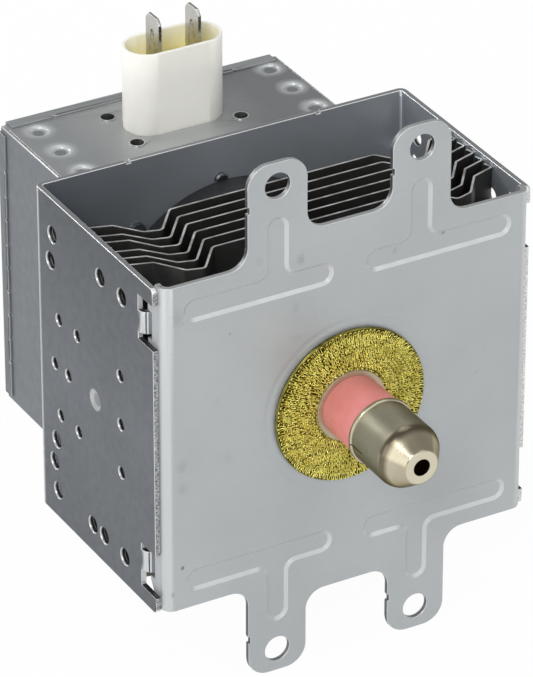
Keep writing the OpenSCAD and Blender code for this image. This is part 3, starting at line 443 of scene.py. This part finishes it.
def knitted_brass(name, light, dark):
    """Bright drawn brass wire with tone that shifts from loop to loop."""
    shader = Shader(name, light, metallic=1.0, roughness=0.3)
    shader.colour(shader.mix(shader.ramp(shader.noise(520, 3), (0.35, 0.0), (0.65, 1.0)), light, dark))
    shader.roughness(shader.ramp(shader.noise(1500, 2), (0.3, 0.22), (0.7, 0.38)))
    return shader.mat


def turned_metal(name, light, dark, smooth, dull, line_strength):
    """Drawn or turned metal with fine lines around the antenna axis."""
    shader = Shader(name, light, metallic=0.65, roughness=smooth)
    lines = shader.noise(40, 6, 0.7, stretch=(1, 160, 1))
    haze = shader.ramp(shader.noise(110, 4), (0.35, 0.0), (0.7, 1.0))
    shader.colour(shader.mix(haze, light, dark))
    shader.roughness(shader.ramp(lines, (0.3, smooth), (0.7, dull)))
    shader.bump(lines, line_strength, 0.00006)
    return shader.mat


def cap_metal():
    """The drawn cap: bright warm metal, with a painted dark reflection in a band on its shoulder, and a
    pale satin end.
    """
    shader = Shader("nickel_cap", (0.6, 0.56, 0.43), metallic=1.0, roughness=0.2,
                    Specular_Tint=(0.4, 0.37, 0.3, 1.0))
    axes = shader.axes()
    lines = shader.noise(40, 6, 0.7, stretch=(1, 160, 1))
    haze = shader.ramp(shader.noise(110, 4), (0.35, 0.0), (0.7, 1.0))
    tone = shader.mix(haze, (0.55, 0.50, 0.37), (0.43, 0.39, 0.285))
    # Painted dark reflection in a band round the shoulder
    off = shader.magnitude(shader.math("SUBTRACT", axes["Y"], CAP_SHOULDER - 0.5 * MM))
    tone = shader.mix(shader.ramp(off, (1.4 * MM, 0.0), (0.4 * MM, 0.85)), tone, (0.11, 0.09, 0.055))
    end = shader.ramp(shader.facing()["Y"], (-0.9, 0.0), (-0.98, 1.0))
    shader.colour(shader.mix(end, tone, (0.66, 0.62, 0.48)))
    polish = shader.ramp(shader.noise(300, 3), (0.3, 0.2), (0.7, 0.28))
    shader.roughness(shader.ramp(end, (0.0, polish), (1.0, 0.45)))
    shader.bump(lines, 0.018, 0.00006)
    return shader.mat


def fired_ceramic(name, light, dark):
    """Fired ceramic: satin, with soft blotches and a fine tooth."""
    shader = Shader(name, light, roughness=0.42, Subsurface_Weight=0.08, Subsurface_Scale=0.001)
    shader.colour(shader.mix(shader.ramp(shader.noise(160, 4), (0.35, 0.0), (0.7, 1.0)), light, dark))
    shader.roughness(shader.ramp(shader.noise(800, 4), (0.3, 0.36), (0.7, 0.5)))
    shader.bump(shader.noise(2500, 3), 0.08, 0.0001)
    return shader.mat


def ivory_plastic():
    """Socket moulding: cool ivory outside, warmer and yellower down inside."""
    shader = Shader("white_plastic", (0.92, 0.91, 0.86), roughness=0.38, Subsurface_Weight=0.25,
                    Subsurface_Scale=0.003, Subsurface_Radius=(1.0, 0.95, 0.8))
    axes = shader.axes()
    flat_half = (SOCKET_HIGH.x - SOCKET_LOW.x) / 2 - SOCKET_HALF_WIDTH
    across = shader.magnitude(shader.math("SUBTRACT", axes["X"], SOCKET_X))
    beyond = shader.math("MAXIMUM", shader.math("SUBTRACT", across, flat_half), 0.0)
    depth = shader.math("SUBTRACT", axes["Y"], SOCKET_Y)
    far = shader.distance(beyond, depth)
    inside = shader.ramp(far, (SOCKET_HALF_WIDTH - 0.7 * MM, 1.0), (SOCKET_HALF_WIDTH - 0.5 * MM, 0.0))
    low = shader.ramp(axes["Z"], (POTTING_Z, 1.0), (SOCKET_HIGH.z, 0.15))
    mottle = shader.ramp(shader.noise(140, 4), (0.3, 0.0), (0.7, 1.0))
    outer = shader.mix(mottle, (0.95, 0.935, 0.86), (0.92, 0.90, 0.82))
    inner = shader.mix(low, (0.95, 0.93, 0.80), (0.95, 0.87, 0.48))
    shader.colour(shader.mix(inside, outer, inner))
    shader.roughness(shader.ramp(shader.noise(700, 3), (0.3, 0.32), (0.7, 0.46)))
    shader.bump(shader.noise(1500, 3), 0.06, 0.0001)
    return shader.mat


def yellow_epoxy():
    """Cast potting: clear yellow with a wavy meniscus."""
    shader = Shader("yellow_epoxy", (0.72, 0.60, 0.20), roughness=0.22, Subsurface_Weight=0.2,
                    Subsurface_Scale=0.002, Coat_Weight=0.3)
    shader.colour(shader.mix(shader.noise(210, 3), (0.92, 0.83, 0.36), (0.80, 0.67, 0.22)))
    shader.roughness(shader.ramp(shader.noise(420, 3), (0.3, 0.14), (0.7, 0.32)))
    shader.bump(shader.noise(330, 2), 0.3, 0.0005)
    return shader.mat


def plain_metal(name, light, dark, smooth, dull):
    """Metal of an inner or small piece, with clouded tone and fine grain."""
    shader = Shader(name, light, metallic=1.0, roughness=smooth)
    shader.colour(shader.mix(shader.ramp(shader.noise(130, 4), (0.3, 0.0), (0.7, 1.0)), light, dark))
    shader.roughness(shader.ramp(shader.noise(600, 4), (0.3, smooth), (0.7, dull)))
    shader.bump(shader.noise(2200, 3), 0.12, 0.0001)
    return shader.mat


SLOT_MATERIALS = {
    "white_plastic": ivory_plastic(),
    "yellow_epoxy": yellow_epoxy(),
    "tinned_tab": plain_metal("tinned_tab", (0.60, 0.59, 0.56), (0.42, 0.41, 0.38), 0.22, 0.36),
    "tinned_plate": plain_metal("tinned_plate", (0.80, 0.81, 0.81), (0.66, 0.67, 0.67), 0.25, 0.4),
    "white_ceramic": fired_ceramic("white_ceramic", (0.80, 0.78, 0.72), (0.74, 0.71, 0.64)),
    "ferrite": ferrite(),
    "brass_mesh": knitted_brass("brass_mesh", (0.92, 0.85, 0.25), (0.68, 0.60, 0.12)),
    "nickel_alloy": turned_metal("nickel_alloy", (0.50, 0.43, 0.31), (0.40, 0.34, 0.24), 0.3, 0.42, 0.08),
    "pink_ceramic": fired_ceramic("pink_ceramic", (0.76, 0.27, 0.255), (0.69, 0.22, 0.21)),
    "nickel_cap": cap_metal(),
    "copper": plain_metal("copper", (0.72, 0.33, 0.18), (0.55, 0.24, 0.13), 0.25, 0.4),
    "copper_wire": plain_metal("copper_wire", (0.58, 0.24, 0.11), (0.42, 0.16, 0.07), 0.25, 0.4),
    "pole_steel": plain_metal("pole_steel", (0.42, 0.42, 0.43), (0.30, 0.30, 0.31), 0.32, 0.46),
    "tungsten": plain_metal("tungsten", (0.20, 0.20, 0.21), (0.12, 0.12, 0.13), 0.35, 0.5),
    "molybdenum": plain_metal("molybdenum", (0.38, 0.38, 0.39), (0.28, 0.28, 0.29), 0.3, 0.45),
    "aluminium_fin": fin_sheet(),
}
NODE_MATERIALS = {
    # The yoke is the same zinc as the plate; its much darker base colour is painted shade
    "yoke_channel": zinc_sheet("zinc_yoke_shaded", (0.120, 0.132, 0.147), (0.100, 0.110, 0.123), 0.55, 0.9,
                               across="X", rims=yoke_rims, finish=yoke_tone),
    "mounting_plate": zinc_sheet("zinc_plate", (0.412, 0.434, 0.443), (0.38, 0.402, 0.412), 0.5, 0.3,
                                 across="Y", finish=plate_tone),
    "filter_box": zinc_sheet("zinc_box", BOX_LIGHT, BOX_DARK, 0.5, 0.4, sides=BOX_SIDE_SHADE, finish=box_tone),
    "filter_box_cover": zinc_sheet("zinc_cover", BOX_LIGHT, BOX_DARK, 0.5, 0.4, sides=BOX_SIDE_SHADE),
}
BEVEL_ANGLE = math.radians(60)
# Bevels in mm
BEVEL_WIDTHS = {
    "yoke_channel": 0.2, "mounting_plate": 0.20, "filter_box": 0.16, "filter_box_cover": 0.14,
    "connector_body": 0.25, "terminal_left": 0.10, "terminal_right": 0.10, "antenna_ceramic": 0.15,
    "rear_magnet": 0.4, "front_magnet": 0.4, "output_sleeve": 0.08,
}


def dress_nodes():
    """Gives every CAD node its material and softens the edges that show."""
    for name, node in frame["nodes"].items():
        material = NODE_MATERIALS.get(name) or SLOT_MATERIALS[SLOTS[name]]
        node.data.materials.clear()
        node.data.materials.append(material)
        if name in BEVEL_WIDTHS:
            soften(node, BEVEL_WIDTHS[name] * MM)


def soften(node, width):
    """Rounds the square edges, after joining the mesh's split corners."""
    weld = node.modifiers.new("weld", "WELD")
    weld.merge_threshold = 0.000001
    bevel = node.modifiers.new("soft_edges", "BEVEL")
    bevel.width = width
    bevel.segments = 2
    bevel.limit_method = "ANGLE"
    bevel.angle_limit = BEVEL_ANGLE
    bevel.harden_normals = True
    bevel.use_clamp_overlap = False


def new_piece(name, vertices, faces, material):
    mesh = bpy.data.meshes.new(name)
    mesh.from_pydata(vertices, [], faces)
    mesh.validate()
    mesh.materials.append(material)
    for face in mesh.polygons:
        face.use_smooth = True
    piece = bpy.data.objects.new(name, mesh)
    bpy.context.scene.collection.objects.link(piece)
    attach(piece, "root")
    return piece


# Knitted gasket: rings of interlocked wire loops laid over a rounded pad
WIRE_R = 0.135 * MM
WIRE_SIDES = 4
STITCH_PITCH = 1.0 * MM
STITCH_STEPS = 12
COURSE_PITCH = 1.05 * MM
LOOP_HEIGHT = 1.9 * MM
LOOP_SWAY = 0.12
LOOP_LIFT = 0.26 * MM
LOOP_UNEVEN = 0.3
UNDER_DROP = 0.4 * MM
RIM_SHARE = 0.55
RIM_DROPS = (0.15 * MM, 0.4 * MM, 0.65 * MM)


def pad_height(radius):
    """How far the gasket stands off the plate at a radius: full in the middle, rolled down at the rims."""
    middle = (GASKET_R + GASKET_BORE_R) / 2
    half = (GASKET_R - GASKET_BORE_R) / 2
    share = np.clip(np.abs(radius - middle) / half, 0, 1)
    return GASKET_T * (RIM_SHARE + (1 - RIM_SHARE) * np.sqrt(1 - share ** 8))


def course_line(radius, drop, phase, dice):
    """One closed ring of knitted loops."""
    stitches = max(12, round(2 * math.pi * radius / STITCH_PITCH))
    count = stitches * STITCH_STEPS
    turn = np.arange(count) / count
    loop = 2 * math.pi * stitches * turn + phase
    wobble = np.repeat([dice.uniform(-1, 1) for _ in range(stitches)], STITCH_STEPS)
    wobble = np.convolve(np.concatenate([wobble, wobble[:STITCH_STEPS]]), np.ones(7) / 7, "same")[:count]
    sway = LOOP_SWAY * np.sin(2 * loop) + LOOP_UNEVEN * wobble
    angle = 2 * math.pi * turn + sway * STITCH_PITCH / radius
    reach = radius + (LOOP_HEIGHT / 2) * (np.cos(loop) + LOOP_UNEVEN * wobble)
    reach = np.clip(reach, GASKET_BORE_R + WIRE_R, GASKET_R - WIRE_R)
    lift = pad_height(reach) - WIRE_R - drop + LOOP_LIFT * (np.cos(2 * loop) - 1) + 0.05 * MM * wobble
    return np.stack([reach * np.cos(angle), -lift, reach * np.sin(angle)], axis=1)


def rim_line(drop):
    """One plain ring of wire that closes the gasket's outer rim."""
    angle = 2 * math.pi * np.arange(240) / 240
    reach = GASKET_R - WIRE_R
    lift = np.full(len(angle), float(pad_height(reach)) - WIRE_R - drop)
    return np.stack([reach * np.cos(angle), -lift, reach * np.sin(angle)], axis=1)


def tube(line):
    """Vertices and faces of a closed wire along a ring of points on the plate."""
    along = np.roll(line, -1, 0) - np.roll(line, 1, 0)
    along /= np.linalg.norm(along, axis=1, keepdims=True)
    side = np.cross(along, np.array([0.0, -1.0, 0.0]))
    side /= np.linalg.norm(side, axis=1, keepdims=True)
    out = np.cross(side, along)
    rings = []
    for k in range(WIRE_SIDES):
        a = 2 * math.pi * k / WIRE_SIDES
        rings.append(line + WIRE_R * (math.cos(a) * side + math.sin(a) * out))
    vertices = np.stack(rings, axis=1).reshape(-1, 3)
    count = len(line)
    faces = []
    for i in range(count):
        j = (i + 1) % count
        for k in range(WIRE_SIDES):
            m = (k + 1) % WIRE_SIDES
            faces.append((i * WIRE_SIDES + k, i * WIRE_SIDES + m, j * WIRE_SIDES + m, j * WIRE_SIDES + k))
    return vertices, faces


def knit(name, drop, seed, material, rims=()):
    """One layer of the gasket's knit, with plain rings of wire at its rim."""
    dice = random.Random(seed)
    lines = [rim_line(depth) for depth in rims]
    radius = GASKET_BORE_R + 0.5 * MM
    while radius < GASKET_R - 0.3 * MM:
        lines.append(course_line(radius, drop, dice.uniform(0, 6.28), dice))
        radius += COURSE_PITCH
    vertices = []
    faces = []
    for line in lines:
        points, quads = tube(line)
        start = len(vertices)
        vertices.extend(points.tolist())
        faces.extend(tuple(start + v for v in quad) for quad in quads)
    return new_piece(name, vertices, faces, material)


def gasket_knit():
    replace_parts(knit("gasket_knit", 0.0, 7, SLOT_MATERIALS["brass_mesh"]), "gasket_mesh")
    # The lower layer of the knit is darker brass as painted shade
    under = knitted_brass("brass_under_shade", (0.38, 0.34, 0.085), (0.21, 0.185, 0.04))
    knit("gasket_under", UNDER_DROP, 11, under, rims=RIM_DROPS)


PAD_STEPS = 24
PAD_TURN = 96
PAD_DROP = 0.6 * MM
PAD_INSET = 0.2 * MM
PAD_LEAST = 0.1 * MM


def gasket_pad():
    """Inner layers of the knit, seen between the wires, in dark brass as painted shade."""
    inner = GASKET_BORE_R + PAD_INSET
    outer = GASKET_R - PAD_INSET
    profile = [(inner, 0.0)]
    for i in range(PAD_STEPS + 1):
        radius = inner + (outer - inner) * i / PAD_STEPS
        profile.append((radius, max(PAD_LEAST, float(pad_height(radius)) - PAD_DROP)))
    profile.append((outer, 0.0))
    rows = len(profile)
    vertices = []
    faces = []
    for t in range(PAD_TURN):
        angle = 2 * math.pi * t / PAD_TURN
        vertices += [(r * math.cos(angle), -h, r * math.sin(angle)) for r, h in profile]
        u = (t + 1) % PAD_TURN
        faces += [(t * rows + i, t * rows + (i + 1) % rows, u * rows + (i + 1) % rows, u * rows + i)
                  for i in range(rows)]
    # Near-black brass: painted shade for the knit's inner layers
    inner_shade = knitted_brass("brass_inner_shade", (0.085, 0.072, 0.016), (0.033, 0.027, 0.006))
    new_piece("gasket_pad", vertices, faces, inner_shade)


# Lug above the magnet: its gap to it, and where its side ends and its crown begins
LUG_GAP = 0.1 * MM
LUG_SIDE = 0.6 * LUG_T
LUG_CROWN_R = 0.75 * LUG_R
LUG_STEPS = 24


def magnet_lug():
    """Half-round lug pressed out of the back wall, which stops the magnet from above."""
    rest = math.sqrt(MAGNET_R ** 2 - LUG_X ** 2) + LUG_GAP
    angles = [math.pi * i / LUG_STEPS for i in range(LUG_STEPS + 1)]
    vertices = []
    for radius, proud in ((LUG_R, 0.0), (LUG_R, LUG_SIDE), (LUG_CROWN_R, LUG_T)):
        vertices += [(LUG_X + radius * math.cos(a), BACK_WALL - proud, rest + radius * math.sin(a))
                     for a in angles]
    count = LUG_STEPS + 1
    faces = [tuple(range(count)), tuple(range(3 * count - 1, 2 * count - 1, -1))]
    for row in range(2):
        for i in range(count):
            j = (i + 1) % count
            faces.append((row * count + i, (row + 1) * count + i, (row + 1) * count + j, row * count + j))
    dark = plain_metal("zinc_lug", (0.17, 0.185, 0.2), LUG_TONE, 0.4, 0.5)
    piece = new_piece("magnet_lug", vertices, faces, dark)
    for face in piece.data.polygons:
        face.use_smooth = False


# Studio
FLOOR_SIZE = 8.0
FLOOR_WHITE = 0.88
FLOOR_GLOW = 0.97
WORLD_LOW = 0.05
WORLD_HIGH = 0.6
WORLD_HORIZON = 0.5
WORLD_TOP = 0.4
# Lights: name, place and size in metres, power in watts
LIGHTS = (
    ("key", (-1.0, -1.15, 1.25), 0.6, 16.0),
    ("front", (0.75, -1.15, 1.1), 0.7, 2.6),
    ("left", (-1.55, -0.5, 0.42), 1.2, 6.2),
    ("fill", (0.1, -1.9, 0.35), 0.9, 5.5),
    ("rim", (-0.95, 1.4, 0.8), 0.6, 9.0),
    ("top", (0.3, 0.3, 1.8), 1.0, 4.0),
)


def seen_directly(tree):
    """1 for camera, glossy and transmission rays, else 0."""
    path = tree.nodes.new("ShaderNodeLightPath")
    total = path.outputs["Is Camera Ray"]
    for other in ("Is Glossy Ray", "Is Transmission Ray"):
        add = tree.nodes.new("ShaderNodeMath")
        add.operation = "MAXIMUM"
        tree.links.new(total, add.inputs[0])
        tree.links.new(path.outputs[other], add.inputs[1])
        total = add.outputs[0]
    return total


def floor():
    half = FLOOR_SIZE / 2
    z = cad_box[0][2]
    mesh = bpy.data.meshes.new("floor")
    corners = [(-half, -half, z), (half, -half, z), (half, half, z), (-half, half, z)]
    mesh.from_pydata(corners, [], [(0, 1, 2, 3)])
    mat = bpy.data.materials.new("floor_white")
    mat.use_nodes = True
    tree = mat.node_tree
    bsdf = tree.nodes["Principled BSDF"]
    bsdf.inputs["Base Color"].default_value = (FLOOR_WHITE, FLOOR_WHITE, FLOOR_WHITE, 1)
    bsdf.inputs["Roughness"].default_value = 0.9
    glow = tree.nodes.new("ShaderNodeEmission")
    blend = tree.nodes.new("ShaderNodeMixShader")
    share = tree.nodes.new("ShaderNodeMath")
    share.operation = "MULTIPLY"
    share.inputs[1].default_value = FLOOR_GLOW
    tree.links.new(seen_directly(tree), share.inputs[0])
    tree.links.new(share.outputs[0], blend.inputs[0])
    tree.links.new(bsdf.outputs[0], blend.inputs[1])
    tree.links.new(glow.outputs[0], blend.inputs[2])
    tree.links.new(blend.outputs[0], tree.nodes["Material Output"].inputs[0])
    mesh.materials.append(mat)
    plane = bpy.data.objects.new("floor", mesh)
    bpy.context.scene.collection.objects.link(plane)


def world():
    """Soft dome, white at the horizon and greyer overhead."""
    made = bpy.data.worlds.new("studio")
    made.use_nodes = True
    bpy.context.scene.world = made
    tree = made.node_tree
    direction = tree.nodes.new("ShaderNodeTexCoord")
    split = tree.nodes.new("ShaderNodeSeparateXYZ")
    ramp = tree.nodes.new("ShaderNodeMapRange")
    ramp.inputs["From Min"].default_value = WORLD_LOW
    ramp.inputs["From Max"].default_value = WORLD_HIGH
    ramp.inputs["To Min"].default_value = WORLD_HORIZON
    ramp.inputs["To Max"].default_value = WORLD_TOP
    tree.links.new(direction.outputs["Generated"], split.inputs[0])
    tree.links.new(split.outputs["Z"], ramp.inputs["Value"])
    tree.links.new(ramp.outputs["Result"], tree.nodes["Background"].inputs["Strength"])
    tree.nodes["Background"].inputs["Color"].default_value = (1, 1, 1, 1)


def area_light(name, place, size, power):
    data = bpy.data.lights.new(name, "AREA")
    data.shape = "SQUARE"
    data.size = size
    data.energy = power
    lamp = bpy.data.objects.new(name, data)
    bpy.context.scene.collection.objects.link(lamp)
    lamp.location = place
    lamp.rotation_euler = (-Vector(place)).to_track_quat("-Z", "Y").to_euler()


def camera():
    right = Vector((math.cos(CAMERA_AZIMUTH), math.sin(CAMERA_AZIMUTH), 0))
    back = Vector((math.sin(CAMERA_AZIMUTH) * math.cos(CAMERA_ELEVATION),
                   -math.cos(CAMERA_AZIMUTH) * math.cos(CAMERA_ELEVATION), math.sin(CAMERA_ELEVATION)))
    up = back.cross(right)
    data = bpy.data.cameras.new("camera")
    data.lens = CAMERA_LENS
    data.clip_start = 0.01
    made = bpy.data.objects.new("camera", data)
    bpy.context.scene.collection.objects.link(made)
    turn = Matrix((right, up, back)).transposed().to_4x4()
    place = back * CAMERA_DISTANCE + right * CAMERA_RIGHT + up * CAMERA_UP
    made.matrix_world = Matrix.Translation(place) @ turn
    bpy.context.scene.camera = made


dress_nodes()
gasket_knit()
gasket_pad()
magnet_lug()
floor()
world()
for light in LIGHTS:
    area_light(*light)
camera()
bpy.context.scene.view_settings.view_transform = "Standard"
